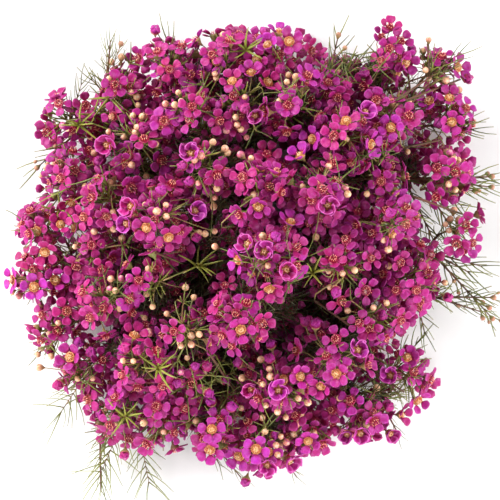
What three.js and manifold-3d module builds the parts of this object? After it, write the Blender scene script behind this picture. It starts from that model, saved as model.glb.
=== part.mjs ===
// A cut waxflower stem (Chamelaucium) lying on a table: a woody stem whose side branches fork into twigs,
// with a head of five-petalled flowers, buds and needle leaves at the end of every twig.
// Millimetres, +Z up. The table is z = 0, and the origin is under the middle of the whole piece.
import * as THREE from "three";
import { mergeVertices } from "three/addons/utils/BufferGeometryUtils.js";
import Module from "manifold-3d";

const wasm = await Module();
wasm.setup();

// ---- Driving dimensions, in millimetres and degrees ----
const clearance = 0.3; // gap left wherever one piece meets another
const tableMargin = 0.15; // petals and leaves end this far above the table, so the wood carries the piece
const crown = { radius: 122, rimHeight: 19, domeHeight: 64, power: 0.75 }; // the dome that the heads make
const facingFocus = new THREE.Vector3(0, 0, -60); // heads look away from this point below the table
const mainStem = { cutRadius: 3, tipRadius: 1.1, sides: 8, steps: 14 };
const sideBranch = { baseRadius: 1.9, tipRadius: 0.8, sides: 6, steps: 9, shareOfStem: 0.75 };
const twig = { baseRadius: 1.05, tipRadius: 0.75, sides: 4, steps: 6, forkAngle: 45, bend: 0.34, reach: 30 };
const twigSearch = { attempts: 120, bowStep: 0.25, forkShift: 0.03, lowestFork: 0.1, highestFork: 0.97 };
const stalk = { length: 4, radius: 0.9, sides: 5 };
const flower = { stalkRadius: 0.55, petalRadius: 7.2, tubeLength: 5.6, cupDepth: 1.5, petals: 5 };
const bud = { stalkRadius: 0.5, radius: 2.3, length: 4.6, reach: 0.8, sides: 4 };
const needle = { radius: 0.6, length: 14, widestAt: 0.2, sides: 3 };
const headDepth = 0.6; // from the middle of a head down to its knot, as a share of its spread
const headPlan = {
  flowers: { count: 6, widest: 84, spacing: 54, candidates: 60 },
  buds: { count: 1, widest: 90, spacing: 38, candidates: 40 },
  needles: { count: 1, widest: 115, spacing: 30, candidates: 60 },
};
const shootPlan = { needles: 10, first: 0.2, every: 0.08, lean: 34, turn: 69 }; // places: shares of length
const goldenAngle = THREE.MathUtils.degToRad(137.508);

// The main stem lies along the table from its cut end, and its leader turns up into the crown.
const mainRoute = [[14, -80, 2.8], [9, -45, 2.8], [3, -10, 3.4], [-2, 16, 14], [-3, 28, 34]];

// The side branches: where each leaves the main stem, from 0 at the cut to 1 at the tip, and its route.
const sideRoutes = [
  { leaves: 0.42, route: [[40, -24, 1.3], [70, -10, 12], [92, -1, 22]] },
  { leaves: 0.6, route: [[32, 18, 1.3], [58, 46, 16], [82, 72, 28]] },
  { leaves: 0.78, route: [[6, 40, 22], [8, 64, 33], [4, 84, 38]] },
  { leaves: 0.53, route: [[-28, 22, 1.3], [-58, 44, 10], [-82, 60, 20]] },
  { leaves: 0.34, route: [[-26, -34, 1.3], [-60, -32, 10], [-88, -22, 18]] },
  { leaves: 0.14, route: [[-16, -76, 1.3], [-44, -86, 7], [-66, -88, 14]] },
  { leaves: 0.18, route: [[38, -74, 1.3], [58, -78, 7], [76, -72, 14]] },
];

// The flower heads: where the middle of each is seen from above, how far it stands out of the dome, and
// its spread.
const headPlaces = [
  [107, 10, 4, 14], [101, 40, 8, 15], [104, 70, 16, 15], [93, 92, 16, 14], [70, 100, 20, 14],
  [41, 87, -4, 17], [15, 100, 2, 18], [-13, 100, 0, 18], [-41, 95, 0, 17], [-66, 82, 0, 16],
  [-96, 68, 6, 15], [-94, 40, -2, 17], [-107, 9, 2, 16], [-111, -16, 0, 16], [-99, -40, -1, 16],
  [-89, -64, 3, 15], [-70, -84, 2, 17], [-46, -90, 4, 18], [-18, -93, 0, 17], [7, -101, 3, 16],
  [30, -92, -4, 15], [57, -85, 2, 17], [82, -66, 4, 14], [85, -14, -2, 18], [71, 13, 2, 18],
  [66, 40, -5, 17], [76, 68, 4, 17], [48, 61, 2, 18], [24, 76, 4, 18], [-4, 77, -2, 18],
  [-31, 73, 2, 18], [-60, 58, -3, 17], [-75, 28, 3, 18], [-81, 1, -4, 18], [-74, -27, 1, 18],
  [-57, -59, 3, 18], [-31, -67, -7, 17], [17, -72, 2, 18], [43, -57, 3, 18], [64, -36, -2, 18],
  [36, 31, 2, 18], [5, 33, 3, 18], [-25, 43, 0, 17], [-48, 17, 2, 18], [-50, -17, -4, 17],
  [-33, -42, 0, 17], [-5, -35, 3, 18], [48, -9, -3, 18], [12, -3, 4, 18],
];

// The shoots without flowers: foot, direction in which the foot points, and tip.
const shootPlaces = [
  { foot: [-76, -96, 13], facing: [-0.1, -0.95, 0.15], tip: [-76, -122, 5] },
  { foot: [94, -24, 26], facing: [0.9, -0.25, 0.3], tip: [116, -31, 27] },
  { foot: [-72, 84, 30], facing: [-0.1, 0.85, 0.5], tip: [-70, 104, 42] },
];

// ---- Materials ----
const bark = () => new THREE.MeshStandardMaterial({ color: 0x6b4a33, roughness: 0.75, metalness: 0 });
const petals = () => new THREE.MeshStandardMaterial({ color: 0xb02a8c, roughness: 0.55, metalness: 0 });
const foliage = () => new THREE.MeshStandardMaterial({ color: 0x6f7d3a, roughness: 0.6, metalness: 0 });

// ---- Solids ----
const up = new THREE.Vector3(0, 0, 1);
const alongX = new THREE.Vector3(1, 0, 0);
const alongY = new THREE.Vector3(0, 1, 0);
const vectorOf = (place) => new THREE.Vector3(...place);
const nodeName = (kind, i) => `${kind}_${String(i + 1).padStart(2, "0")}`;

// A closed three.js geometry as a solid that can be joined and cut.
function solidOf(geometry) {
  geometry.deleteAttribute("normal");
  geometry.deleteAttribute("uv");
  const { attributes, index } = mergeVertices(geometry, 1e-4);
  const vertProperties = attributes.position.array;
  const triVerts = new Uint32Array(index.array);
  return new wasm.Manifold(new wasm.Mesh({ numProp: 3, vertProperties, triVerts }));
}

function meshOf(name, solid, material) {
  const { vertProperties, triVerts } = solid.getMesh();
  const geometry = new THREE.BufferGeometry();
  geometry.setAttribute("position", new THREE.BufferAttribute(vertProperties, 3));
  geometry.setIndex(new THREE.BufferAttribute(triVerts, 1));
  const mesh = new THREE.Mesh(geometry, material);
  mesh.name = name;
  return mesh;
}

// A tapering rod along a curve: a cylinder whose rings are moved onto the curve.
function rodAlong(curve, startRadius, endRadius, { sides, steps }) {
  const rod = new THREE.CylinderGeometry(endRadius, startRadius, 1, sides, steps);
  const { normals, binormals } = curve.computeFrenetFrames(steps);
  const places = rod.attributes.position;
  for (let i = 0; i < places.count; i++) {
    const ring = Math.round((places.getY(i) + 0.5) * steps);
    const moved = curve.getPointAt(ring / steps);
    moved.addScaledVector(normals[ring], places.getX(i)).addScaledVector(binormals[ring], -places.getZ(i));
    places.setXYZ(i, moved.x, moved.y, moved.z);
  }
  return solidOf(rod);
}

// A turned shape that stands on `foot` and points along `direction`. Profiles run from the foot up the axis.
function turned(profile, sides, foot, direction) {
  const outline = profile.map(([radius, height]) => new THREE.Vector2(radius, height));
  const shape = new THREE.LatheGeometry(outline, sides);
  shape.applyQuaternion(new THREE.Quaternion().setFromUnitVectors(alongY, direction));
  shape.translate(foot.x, foot.y, foot.z);
  return solidOf(shape);
}

// Each shape takes `extra`, by which it is thickened for the test that it is clear of its neighbours.
function flowerOn(foot, direction, length, extra = 0) {
  const profile = [
    [0, 0],
    [flower.stalkRadius + extra, length - flower.tubeLength],
    [flower.petalRadius + extra, length + extra],
    [0, length - flower.cupDepth + extra],
  ];
  return turned(profile, flower.petals, foot, direction);
}

function budOn(foot, direction, length, extra = 0) {
  const tip = length * bud.reach;
  const profile = [
    [0, 0],
    [bud.stalkRadius + extra, tip - bud.length],
    [bud.radius + extra, tip - bud.length / 2],
    [0, tip + extra],
  ];
  return turned(profile, bud.sides, foot, direction);
}

function needleOn(foot, direction, length, extra = 0) {
  const profile = [
    [0, 0],
    [needle.radius + extra, needle.length * needle.widestAt],
    [0, needle.length + extra],
  ];
  return turned(profile, needle.sides, foot, direction);
}

// ---- What has grown so far, so that each new piece keeps clear of it ----
const grown = [];

function remember(node, solid) {
  grown.push({ node, solid, box: solid.boundingBox() });
}

const boxesMeet = (a, b) => [0, 1, 2].every((k) => a.min[k] <= b.max[k] && b.min[k] <= a.max[k]);

function isClear(node, swollen) {
  const box = swollen.boundingBox();
  if (box.min[2] < tableMargin) return false;
  const near = grown.filter((other) => other.node !== node && boxesMeet(box, other.box));
  return near.every((other) => swollen.intersect(other.solid).isEmpty());
}

// The direction that leans `angle` away from `axis`, towards the side that `turn` picks.
function leaningFrom(axis, angle, turn) {
  const hinge = new THREE.Vector3().crossVectors(axis, Math.abs(axis.x) < 0.9 ? alongX : up).normalize();
  hinge.applyAxisAngle(axis, turn);
  return axis.clone().applyAxisAngle(hinge, angle);
}

// ---- The wood ----
const tableSlab = solidOf(new THREE.BoxGeometry(400, 400, 20).translate(0, 0, -10));
const mainCurve = new THREE.CatmullRomCurve3(mainRoute.map(vectorOf));
const stemSolid = (extra) =>
  rodAlong(mainCurve, mainStem.cutRadius + extra, mainStem.tipRadius + extra, mainStem);

// A side branch starts on the main stem's centreline and is cut back to a small gap from its bark.
function sideLimb({ leaves, route }, i) {
  const curve = new THREE.CatmullRomCurve3([mainCurve.getPointAt(leaves), ...route.map(vectorOf)]);
  const stemRadius = THREE.MathUtils.lerp(mainStem.cutRadius, mainStem.tipRadius, leaves);
  const baseRadius = Math.min(sideBranch.baseRadius, stemRadius * sideBranch.shareOfStem);
  const wood = rodAlong(curve, baseRadius, sideBranch.tipRadius, sideBranch);
  return { node: nodeName("side_branch", i), curve, wood: wood.subtract(stemSolid(clearance)) };
}

const limbs = [{ node: "main_stem", curve: mainCurve, wood: stemSolid(0) }, ...sideRoutes.map(sideLimb)];
for (const limb of limbs) {
  limb.wood = limb.wood.subtract(tableSlab);
  remember(limb.node, limb.wood);
}

// The last point where the limb still heads within the fork angle of the twig's end, or the nearest to it.
function forkPlace(curve, end) {
  let best = { at: 0, angle: Infinity };
  for (let at = twigSearch.highestFork; at > twigSearch.lowestFork; at -= 0.01) {
    const angle = curve.getTangentAt(at).angleTo(end.clone().sub(curve.getPointAt(at)));
    if (angle < best.angle) best = { at, angle };
    if (angle <= THREE.MathUtils.degToRad(twig.forkAngle)) break;
  }
  return best.at;
}

function twigCurve(limb, at, end, facing, bow) {
  const start = limb.curve.getPointAt(at);
  const pull = start.distanceTo(end) * twig.bend;
  const leaving = limb.curve.getTangentAt(at).multiplyScalar(pull).add(start).add(bow);
  const arriving = facing.clone().multiplyScalar(-pull).add(end).add(bow);
  return new THREE.CubicBezierCurve3(start, leaving, arriving, end);
}

// Grows a twig to `end`, bowed further and further aside until it is clear of what has grown before it.
function growTwig({ node, foot, facing }) {
  const limb = nearestLimb(foot, facing);
  const fork = forkPlace(limb.curve, foot);
  const { attempts, bowStep, forkShift, lowestFork, highestFork } = twigSearch;
  for (let attempt = 0; attempt < attempts; attempt++) {
    const bow = leaningFrom(facing, Math.PI / 2, attempt * goldenAngle).multiplyScalar(attempt * bowStep);
    const at = THREE.MathUtils.clamp(fork + forkShift * ((attempt % 5) - 2), lowestFork, highestFork);
    const curve = twigCurve(limb, at, foot, facing, bow);
    const swollen = rodAlong(curve, twig.baseRadius + clearance, twig.tipRadius + clearance, twig);
    if (!isClear(limb.node, swollen)) continue;
    const wood = rodAlong(curve, twig.baseRadius, twig.tipRadius, twig);
    limb.wood = limb.wood.add(wood);
    remember(limb.node, wood);
    return;
  }
  throw new Error(`no clear way for the twig of ${node}`);
}

// The limb that passes nearest to a point some way behind the twig's end.
function nearestLimb(foot, facing) {
  const behind = foot.clone().addScaledVector(facing, -twig.reach);
  const gapTo = ({ curve }) => Math.min(...curve.getSpacedPoints(40).map((point) => point.distanceTo(behind)));
  return limbs.reduce((best, limb) => (gapTo(limb) < gapTo(best) ? limb : best));
}

// ---- The flower heads ----
function domeHeight(x, y) {
  const share = Math.max(0, 1 - (x * x + y * y) / crown.radius ** 2);
  return crown.rimHeight + crown.domeHeight * share ** crown.power;
}

function headAt([x, y, lift, spread], i) {
  const middle = new THREE.Vector3(x, y, domeHeight(x, y) + lift);
  const facing = middle.clone().sub(facingFocus).normalize();
  const knot = middle.addScaledVector(facing, -spread * headDepth);
  const foot = knot.clone().addScaledVector(facing, -stalk.length);
  return { node: nodeName("flower_head", i), knot, facing, foot, spread, turn: i * goldenAngle };
}

// One head: a short stalk that bears flowers all round, then buds and needles where there is still room.
function growHead({ node, knot, facing, foot, spread, turn }) {
  const base = foot.clone().addScaledVector(facing, clearance);
  const top = knot.clone().addScaledVector(facing, stalk.radius);
  let solid = rodAlong(new THREE.LineCurve3(base, top), stalk.radius, stalk.radius, { ...stalk, steps: 1 });
  const taken = [];
  const bear = (shape, { count, widest, spacing, candidates }) => {
    let borne = 0;
    for (let k = 0; k < candidates && borne < count; k++) {
      const lean = THREE.MathUtils.degToRad(widest * Math.sqrt(k / candidates));
      const direction = leaningFrom(facing, lean, turn + k * goldenAngle);
      const roomFor = (other) => direction.angleTo(other) >= THREE.MathUtils.degToRad(spacing);
      if (!taken.every(roomFor) || !isClear(node, shape(knot, direction, spread, clearance))) continue;
      solid = solid.add(shape(knot, direction, spread));
      taken.push(direction);
      borne += 1;
    }
  };
  bear(flowerOn, headPlan.flowers);
  bear(budOn, headPlan.buds);
  bear(needleOn, headPlan.needles);
  remember(node, solid);
  return solid;
}

// ---- The shoots without flowers: a thin twig with needles in opposite pairs ----
function shootAt({ foot, facing, tip }, i) {
  const node = nodeName("leafy_shoot", i);
  return { node, foot: vectorOf(foot), facing: vectorOf(facing).normalize(), tip: vectorOf(tip) };
}

function growShoot({ node, foot, facing, tip }) {
  const start = foot.clone().addScaledVector(facing, clearance);
  const pull = start.distanceTo(tip) / 2;
  const bend = start.clone().addScaledVector(facing, pull);
  const curve = new THREE.QuadraticBezierCurve3(start, bend, tip);
  let solid = rodAlong(curve, twig.tipRadius, twig.tipRadius / 2, twig);
  const lean = THREE.MathUtils.degToRad(shootPlan.lean);
  for (let k = 0; k < shootPlan.needles; k++) {
    const at = shootPlan.first + shootPlan.every * k;
    const pairTurn = Math.floor(k / 2) * THREE.MathUtils.degToRad(shootPlan.turn);
    const direction = leaningFrom(curve.getTangentAt(at), lean, k * Math.PI + pairTurn);
    const base = curve.getPointAt(at);
    if (!isClear(node, needleOn(base, direction, 0, clearance))) continue;
    solid = solid.add(needleOn(base, direction, 0));
  }
  remember(node, solid);
  return solid;
}

// ---- The whole piece ----
const heads = headPlaces.map(headAt);
const shoots = shootPlaces.map(shootAt);
for (const end of [...heads, ...shoots]) growTwig(end);

const stem = new THREE.Group();
for (const head of heads) stem.add(meshOf(head.node, growHead(head), petals()));
for (const shoot of shoots) stem.add(meshOf(shoot.node, growShoot(shoot), foliage()));
for (const limb of limbs) stem.add(meshOf(limb.node, limb.wood, bark()));

const box = new THREE.Box3().setFromObject(stem);
const middle = box.getCenter(new THREE.Vector3());
stem.position.set(-middle.x, -middle.y, -box.min.z);

export default stem;
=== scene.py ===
# A cut waxflower stem that lies on a table: its flowers, buds, needles and bark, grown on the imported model.
import math
import random
from itertools import product
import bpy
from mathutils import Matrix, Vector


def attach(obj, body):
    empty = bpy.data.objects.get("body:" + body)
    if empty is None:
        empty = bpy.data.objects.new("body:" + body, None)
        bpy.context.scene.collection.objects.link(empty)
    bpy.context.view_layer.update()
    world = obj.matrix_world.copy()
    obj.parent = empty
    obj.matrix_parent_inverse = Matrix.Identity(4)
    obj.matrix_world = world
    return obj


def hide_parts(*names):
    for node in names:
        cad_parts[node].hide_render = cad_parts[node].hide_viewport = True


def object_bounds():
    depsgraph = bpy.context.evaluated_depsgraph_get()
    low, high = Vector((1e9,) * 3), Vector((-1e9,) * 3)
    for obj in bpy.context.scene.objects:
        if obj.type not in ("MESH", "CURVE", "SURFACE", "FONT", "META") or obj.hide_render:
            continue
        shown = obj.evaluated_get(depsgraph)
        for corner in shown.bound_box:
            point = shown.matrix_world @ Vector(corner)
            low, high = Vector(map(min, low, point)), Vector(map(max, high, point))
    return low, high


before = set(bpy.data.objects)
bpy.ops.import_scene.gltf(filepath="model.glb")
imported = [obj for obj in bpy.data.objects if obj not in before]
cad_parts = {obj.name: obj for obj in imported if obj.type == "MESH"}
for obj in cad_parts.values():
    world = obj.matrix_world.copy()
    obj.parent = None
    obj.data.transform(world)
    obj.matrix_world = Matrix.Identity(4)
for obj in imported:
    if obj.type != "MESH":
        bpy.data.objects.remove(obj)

from types import SimpleNamespace

import bmesh
import bpy
from mathutils import Matrix, Vector
from mathutils.kdtree import KDTree

mm = 0.001
cadBox = [[float(n) for n in corner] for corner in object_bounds()]
scene = bpy.context.scene
dice = random.Random(27)
between = dice.uniform
goldenAngle = math.radians(137.508)
roughTurn = 6.3  # a whole turn in radians, near enough
upward = Vector((0, 0, 1))


def anyAngle(least, most):
    return math.radians(between(least, most))


def nodesNamed(*starts):
    return sorted(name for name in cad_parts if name.startswith(starts))


headNodes, shootNodes = nodesNamed("flower_head"), nodesNamed("leafy_shoot")
woodNodes = nodesNamed("main_stem", "side_branch")


class Mix:
    # a material under way; its look is a dictionary of named colours
    def __init__(self, name, look):
        self.material = bpy.data.materials.new(name)
        self.material.use_nodes = True
        self.tree, self.look = self.material.node_tree, look

    def feed(self, socket, value):
        # a socket takes another node's output, a colour by its name, or a plain value
        if isinstance(value, bpy.types.NodeSocket):
            self.tree.links.new(value, socket)
        else:
            socket.default_value = (*self.look[value], 1) if isinstance(value, str) else value

    def add(self, kind, inputs=(), **settings):
        node = self.tree.nodes.new(kind)
        for key, value in settings.items():
            setattr(node, key, value)
        for key, value in dict(inputs).items():
            self.feed(node.inputs[key], value)
        return node

    def read(self, name):
        # the three numbers that a shape carries on its points
        reader = self.add("ShaderNodeAttribute", attribute_name=name)
        return self.add("ShaderNodeSeparateColor", {"Color": reader.outputs["Color"]}).outputs[:3]

    def blend(self, share, first, second):
        return self.add("ShaderNodeMix", {0: share, 6: first, 7: second}, data_type="RGBA").outputs[2]

    def paint(self, body, *coats):
        # each coat is how much of it shows, and its colour
        for share, colour in coats:
            body = self.blend(share, body, colour)
        return body

    def span(self, value, low, high, newLow=0, newHigh=1, smooth=True):
        ends = {"Value": value, "From Min": low, "From Max": high, "To Min": newLow, "To Max": newHigh}
        kind = "SMOOTHSTEP" if smooth else "LINEAR"
        return self.add("ShaderNodeMapRange", ends, interpolation_type=kind).outputs["Result"]

    def times(self, first, second):
        return self.add("ShaderNodeMath", {0: first, 1: second}, operation="MULTIPLY").outputs[0]

    def noise(self, scale, detail=2, vector=None):
        vector = vector or self.add("ShaderNodeTexCoord").outputs["Object"]
        return self.add("ShaderNodeTexNoise", {"Scale": scale, "Detail": detail, "Vector": vector}).outputs["Fac"]

    def finish(self, values, height=None, strength=0, depth=0):
        # gives the shader its values, and a bump if there is a height for it
        if height:
            bump = self.add("ShaderNodeBump", {"Height": height, "Strength": strength, "Distance": depth})
            values["Normal"] = bump.outputs["Normal"]
        for key, value in values.items():
            self.feed(self.tree.nodes["Principled BSDF"].inputs[key], value)
        return self.material


petalLook = {
    "violet": (0.45, 0.022, 0.42), "pink": (0.54, 0.012, 0.165), "crimson": (0.29, 0.004, 0.065),
    # "deep" is painted shade, and "rim" and "pale" are each partly painted highlight
    "rim": (0.74, 0.18, 0.56), "pale": (0.78, 0.26, 0.66), "claw": (0.30, 0.004, 0.08), "deep": (0.24, 0.006, 0.12),
}


def petalFinish():
    mix = Mix("petal", petalLook)
    edge, along, across = mix.read("shape")
    hue, ageAndPaintedShade, shade = mix.read("tint")
    # the "deep" colour follows the shade number: random tone, and painted shade that grows the deeper a bloom sits
    # under the top
    body = mix.paint(mix.blend(hue, "violet", "pink"), (mix.span(ageAndPaintedShade, 0.3, 1, 0, 0.55), "crimson"),
                     (mix.span(shade, 0.3, 1, 0, 0.62, False), "deep"))
    patchy = mix.blend(mix.span(mix.noise(420, 3), 0.35, 0.7), "crimson", body)
    body = mix.blend(0.66, patchy, body)
    # veins run from the claw to the rim, many across and long ones, and each flower has its own
    stretched = [mix.span(value, 0, 1, 0, most, False) for value, most in ((across, 26), (along, 2.2), (shade, 40))]
    grid = mix.add("ShaderNodeCombineXYZ", enumerate(stretched))
    veins = mix.noise(1, 2, grid.outputs["Vector"])
    body = mix.paint(
        # paler patches at random: tone that differs, and a painted highlight
        body, (mix.span(mix.noise(300, 4), 0.48, 0.72, 0, 0.17), "pale"),
        (mix.span(veins, 0.42, 0.62, 0, 0.28), "claw"),
        # a paler rim, strongest on young and half-open flowers: partly the petal's own paler edge, partly a painted
        # highlight on the raised rim
        (mix.times(mix.span(edge, 0.62, 1), mix.span(ageAndPaintedShade, 0.06, 0.12, 0.62, 0.14)), "rim"),
        (mix.times(mix.span(along, 0.02, 0.42, 0.9, 0), mix.span(ageAndPaintedShade, 0.06, 0.12, 0.5, 1)), "claw"),
    )
    return mix.finish({
        "Base Color": body, "Roughness": mix.span(veins, 0.2, 0.8, 0.42, 0.6, False), "Specular IOR Level": 0.25,
        "Sheen Weight": 0.02, "Sheen Roughness": 0.5,
        "Subsurface Weight": 0.12, "Subsurface Radius": (1, 0.25, 0.6), "Subsurface Scale": 0.8 * mm,
    }, veins, 0.35, 0.2 * mm)


cupLook = {
    "youngDisc": (0.76, 0.49, 0.13), "youngWall": (0.68, 0.25, 0.08), "oldDisc": (0.24, 0.004, 0.022),
    "oldWall": (0.42, 0.010, 0.090), "speckle": (0.20, 0.02, 0.01),
}


def cupFinish():
    # the nectar disc and the wall round it, yellow when the flower has just opened and crimson later
    mix = Mix("cup", cupLook)
    along, ageAndPaintedShade = mix.read("shape")[1], mix.read("tint")[1]
    grain = mix.noise(2600)
    young, old = mix.blend(along, "youngWall", "youngDisc"), mix.blend(along, "oldWall", "oldDisc")
    body = mix.blend(mix.span(ageAndPaintedShade, 0.25, 0.6), young, old)
    return mix.finish({
        "Base Color": mix.blend(mix.span(grain, 0.45, 0.7, 0, 0.5), body, "speckle"),
        "Roughness": mix.span(grain, 0.3, 0.7, 0.25, 0.5, False), "Coat Weight": 0.25, "Coat Roughness": 0.2,
    }, grain, 0.4, 0.2 * mm)


stamenLook = {
    "youngFoot": (0.72, 0.24, 0.11), "youngTip": (0.88, 0.60, 0.32),
    "oldFoot": (0.42, 0.008, 0.050), "oldTip": (0.88, 0.35, 0.23),
}


def stamenFinish():
    mix = Mix("stamen", stamenLook)
    along, ageAndPaintedShade = mix.read("shape")[1], mix.read("tint")[1]
    grain, tipward = mix.noise(1800, 1), mix.span(along, 0.45, 0.95)
    young, old = mix.blend(tipward, "youngFoot", "youngTip"), mix.blend(tipward, "oldFoot", "oldTip")
    body = mix.blend(mix.span(ageAndPaintedShade, 0.25, 0.6), young, old)
    return mix.finish({
        "Base Color": mix.blend(mix.span(grain, 0.4, 0.8, 0, 0.3), body, "oldFoot"),
        "Roughness": mix.span(grain, 0.3, 0.7, 0.4, 0.6, False), "Subsurface Weight": 0.1, "Subsurface Scale": 0.5 * mm,
    })


stalkLook = {
    "green": (0.21, 0.23, 0.055), "tan": (0.40, 0.24, 0.10), "red": (0.19, 0.052, 0.030), "spot": (0.09, 0.07, 0.02),
}


def stalkFinish():
    # flower stalks and the tubes under the flowers, green to tan with a red flush
    mix = Mix("stalk", stalkLook)
    slow, fine = mix.noise(130), mix.noise(1500, 3)
    body = mix.paint(mix.blend(mix.span(slow, 0.35, 0.65), "green", "tan"),
                     (mix.span(mix.read("tint")[2], 0.55, 1, 0, 0.85), "red"),
                     (mix.span(fine, 0.5, 0.75, 0, 0.5), "spot"))
    rough = mix.span(fine, 0.3, 0.7, 0.4, 0.65, False)
    return mix.finish({"Base Color": body, "Roughness": rough}, fine, 0.4, 0.2 * mm)


budLook = {
    # the pale colour for the crown is a painted highlight on the top, and the seam colour is painted shade in the
    # grooves
    "cream": (0.78, 0.48, 0.26), "blush": (0.74, 0.25, 0.22), "pink": (0.60, 0.05, 0.33), "seam": (0.36, 0.13, 0.05),
    "dry": (0.40, 0.21, 0.12), "crown": (0.90, 0.68, 0.50), "side": (0.50, 0.24, 0.12), "foot": stalkLook["green"],
}


def budFinish():
    mix = Mix("bud", budLook)
    (edge, along), (hue, ageAndPaintedShade) = mix.read("shape")[:2], mix.read("tint")[:2]
    slow = mix.noise(500)
    body = mix.paint(
        mix.blend(mix.span(hue, 0, 0.7), "cream", "blush"), (mix.span(hue, 0.7, 0.9), "pink"),
        (mix.span(slow, 0.4, 0.7, 0, 0.45), "blush"), (mix.span(along, 0.45, 0.8, 0.55, 0), "side"),
        # the pale crown on top is a painted highlight, and the dark seams are painted shade in the grooves between the
        # folded petals
        (mix.span(along, 0.86, 1, 0, 0.6), "crown"), (mix.span(edge, 0.35, 0.9, 0, 0.75), "seam"), (ageAndPaintedShade, "dry"),
        (mix.span(along, 0, 0.35, 0.8, 0), "foot"),
    )
    return mix.finish({
        "Base Color": body, "Roughness": mix.span(slow, 0.3, 0.7, 0.35, 0.55, False),
        "Subsurface Weight": 0.2, "Subsurface Radius": (1, 0.5, 0.3), "Subsurface Scale": 1 * mm,
    }, slow, 0.2, 0.3 * mm)


needleLook = {
    "green": (0.070, 0.095, 0.022), "olive": (0.30, 0.31, 0.036), "tip": (0.24, 0.20, 0.07), "foot": (0.24, 0.09, 0.04),
    # a near-black painted shade for the needles low in the hollows
    "inner": (0.035, 0.016, 0.012),
}


def needleFinish():
    mix = Mix("needle", needleLook)
    along, (hue, ageAndPaintedShade) = mix.read("shape")[1], mix.read("tint")[:2]
    fine = mix.noise(900, 3)
    # the age number brings in the near-black painted shade on the needles low in the hollows
    body = mix.paint(mix.blend(hue, "green", "olive"), (mix.span(fine, 0.45, 0.75, 0, 0.5), "olive"),
                     (mix.span(along, 0.75, 1, 0, 0.8), "tip"), (mix.span(along, 0, 0.12, 0.7, 0), "foot"),
                     (ageAndPaintedShade, "inner"))
    rough = mix.span(fine, 0.3, 0.7, 0.35, 0.55, False)
    return mix.finish({"Base Color": body, "Roughness": rough}, fine, 0.3, 0.2 * mm)


barkLook = {
    "brown": (0.105, 0.050, 0.026), "red": (0.14, 0.042, 0.021), "grey": (0.18, 0.12, 0.078),
    "crack": (0.055, 0.03, 0.018),
}


def barkFinish():
    mix = Mix("bark", barkLook)
    flakes = mix.noise(700, 5)
    body = mix.paint(mix.blend(mix.span(mix.noise(60, 3), 0.35, 0.65), "brown", "red"),
                     (mix.span(flakes, 0.5, 0.7, 0, 0.8), "grey"),
                     (mix.span(mix.noise(2500, 3), 0.3, 0.48, 0.8, 0), "crack"))
    rough = mix.span(flakes, 0.3, 0.7, 0.6, 0.85, False)
    return mix.finish({"Base Color": body, "Roughness": rough}, flakes, 0.7, 0.4 * mm)


finishes = {
    "petal": petalFinish(), "cup": cupFinish(), "stamen": stamenFinish(), "stalk": stalkFinish(),
    "bud": budFinish(), "needle": needleFinish(), "bark": barkFinish(),
}
finishOrder = list(finishes)
print("finishes mixed")


# shapes that repeat: each point carries (edge, along, across) as its shape and (hue, age, shade) as its tint; on the
# needles low in the hollows the age number carries painted shade, and on the blooms the shade number is random tone
# with painted shade by depth
def startShape():
    bm = bmesh.new()
    for name in ("shape", "tint"):
        bm.verts.layers.float_color.new(name)
    return bm


def keepMesh(bm, name):
    mesh = bpy.data.meshes.new(name)
    bm.to_mesh(mesh)
    bm.free()
    return mesh


def keepShape(bm, finish):
    for face in bm.faces:
        face.smooth = True
        face.material_index = finishOrder.index(finish)
    return keepMesh(bm, finish)


def addShape(bm, shape, place=Matrix()):
    # moves a shape into `bm` and drops its own mesh
    shape.transform(place)
    bm.from_mesh(shape)
    bpy.data.meshes.remove(shape)


petal = {
    "length": 5.2 * mm, "width": 5.3 * mm, "thickness": 0.18 * mm, "uneven": 0.07, "wave": 0.2 * mm,
    "claw": 0.36, "clawFrom": 0.1, "clawFall": 1.6,  # its width, where it sets in and how fast it narrows
    "corners": (0.26, 0.46),  # 0 is square and 0.5 is round
}


def petalShape(curl, segments, dish, square):
    # a round blade on a narrow claw, dished, and rolled up by `curl` from its foot to its tip
    bm = startShape()
    bmesh.ops.create_grid(bm, x_segments=segments, y_segments=segments, size=1)
    layer = bm.verts.layers.float_color["shape"]
    corner = between(*petal["corners"]) * (1 - square)
    for v in bm.verts:
        a, b = v.co.x, v.co.y
        x, y = a * math.sqrt(1 - b * b * corner), b * math.sqrt(1 - a * a * corner)
        v[layer] = (max(abs(a), abs(b)), (b + 1) / 2, (a + 1) / 2, 1)
        uneven = 1 + between(-petal["uneven"], petal["uneven"])
        pinch = uneven * (1 - (1 - petal["claw"]) * max(0.0, petal["clawFrom"] - y) ** petal["clawFall"])
        along = (y + 1) / 2
        rise = petal["length"] * (1 - math.cos(curl * along)) / curl + dish * x * x
        v.co = (x * pinch * petal["width"] / 2, petal["length"] * math.sin(curl * along) / curl,
                rise + along * between(-1, 1) * petal["wave"])
    bmesh.ops.recalc_face_normals(bm, faces=bm.faces)
    bmesh.ops.solidify(bm, geom=bm.faces[:], thickness=petal["thickness"])
    bmesh.ops.recalc_face_normals(bm, faces=bm.faces)
    return keepShape(bm, "petal")


def turnedShape(finish, sides, rings):
    # spins an outline round Z; each ring is a radius, a height and how far along the shape it is
    bm = startShape()
    layer = bm.verts.layers.float_color["shape"]
    outline = []
    for radius, height, along in rings:
        v = bm.verts.new((radius, 0, height))
        v[layer] = (0, along, 0, 1)
        outline.append(v)
    edges = [bm.edges.new(pair) for pair in zip(outline, outline[1:])]
    bmesh.ops.spin(bm, geom=outline + edges, cent=(0, 0, 0), axis=(0, 0, 1), dvec=(0, 0, 0),
                   angle=2 * math.pi, steps=sides, use_merge=True, use_duplicate=False)
    bmesh.ops.remove_doubles(bm, verts=bm.verts, dist=0.01 * mm)
    bmesh.ops.recalc_face_normals(bm, faces=bm.faces)
    return keepShape(bm, finish)


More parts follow.
